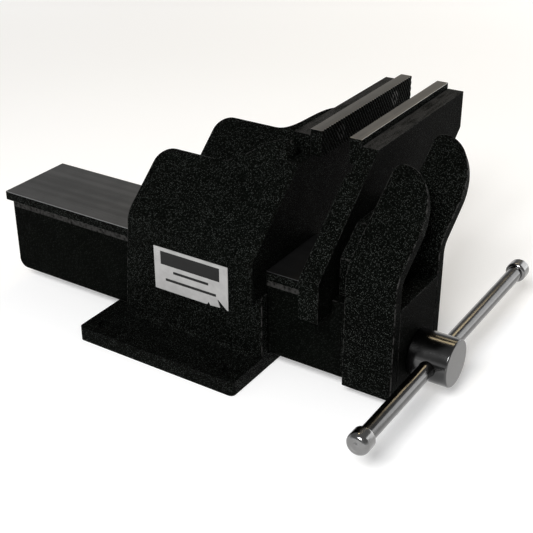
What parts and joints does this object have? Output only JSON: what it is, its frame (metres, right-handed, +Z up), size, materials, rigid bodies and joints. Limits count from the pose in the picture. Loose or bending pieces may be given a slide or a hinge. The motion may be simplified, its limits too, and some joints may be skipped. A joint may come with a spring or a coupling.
{
  "type": "bench vise",
  "caption": "Welded steel bench vise with its jaws offset to one side of the slide, serrated jaw inserts, and a screw turned by a sliding bar handle.",
  "frame": {"origin": "centre of the base plate's flat underside", "axes": "+X along the spindle towards the handle, +Y towards the side on which the jaws stand out, +Z up"},
  "size_m": [0.4073, 0.303, 0.175],
  "materials": {
    "black_paint": "black hammered enamel with a fine glitter",
    "ground_steel": "ground and oiled",
    "hard_steel": "hardened, ground",
    "plain_steel": "machined, oiled",
    "bright_plate": "polished bright plating",
    "foil_label": "satin foil with dark print"
  },
  "bodies": {
    "fixed_body": {"base_plate": "black_paint", "side_plate_left": "black_paint", "side_plate_right": "black_paint", "slide_keeper": "black_paint", "fixed_jaw_plate": "black_paint", "fixed_jaw_insert": "hard_steel", "fixed_insert_screw_left": "plain_steel", "fixed_insert_screw_right": "plain_steel", "spindle_nut": "plain_steel", "nut_screw_left": "plain_steel", "nut_screw_right": "plain_steel", "label_plate": "foil_label"},
    "moving_jaw": {"slide_channel": "black_paint", "slide_top_plate": "ground_steel", "moving_jaw_plate": "black_paint", "moving_jaw_insert": "hard_steel", "moving_insert_screw_left": "plain_steel", "moving_insert_screw_right": "plain_steel", "jaw_brace_plate": "black_paint", "jaw_wing_left": "black_paint", "jaw_wing_right": "black_paint", "nose_plate": "black_paint"},
    "screw": {"spindle": "plain_steel", "spindle_head": "bright_plate", "head_pin": "plain_steel", "retaining_collar": "plain_steel", "collar_pin": "plain_steel", "thrust_washer": "plain_steel"},
    "handle": {"handle_bar": "bright_plate", "handle_knob_left": "bright_plate", "handle_knob_right": "bright_plate"}
  },
  "joints": [
    {"name": "jaw_slide", "type": "slide", "parent": "fixed_body", "child": "moving_jaw", "axis": [1, 0, 0], "range_m": [-0.0225, 0.127]},
    {"name": "screw_spin", "type": "hinge", "parent": "moving_jaw", "child": "screw", "pos_m": [0.165, 0, 0.032], "axis": [1, 0, 0], "range_deg": [-1620, 9144]},
    {"name": "handle_slide", "type": "slide", "parent": "screw", "child": "handle", "axis": [0, 1, 0], "range_m": [-0.1323, 0.0913]}
  ],
  "couplings": [
    {"joint": "jaw_slide", "follows": "screw_spin", "m_per_rad": 0.00079577}
  ]
}
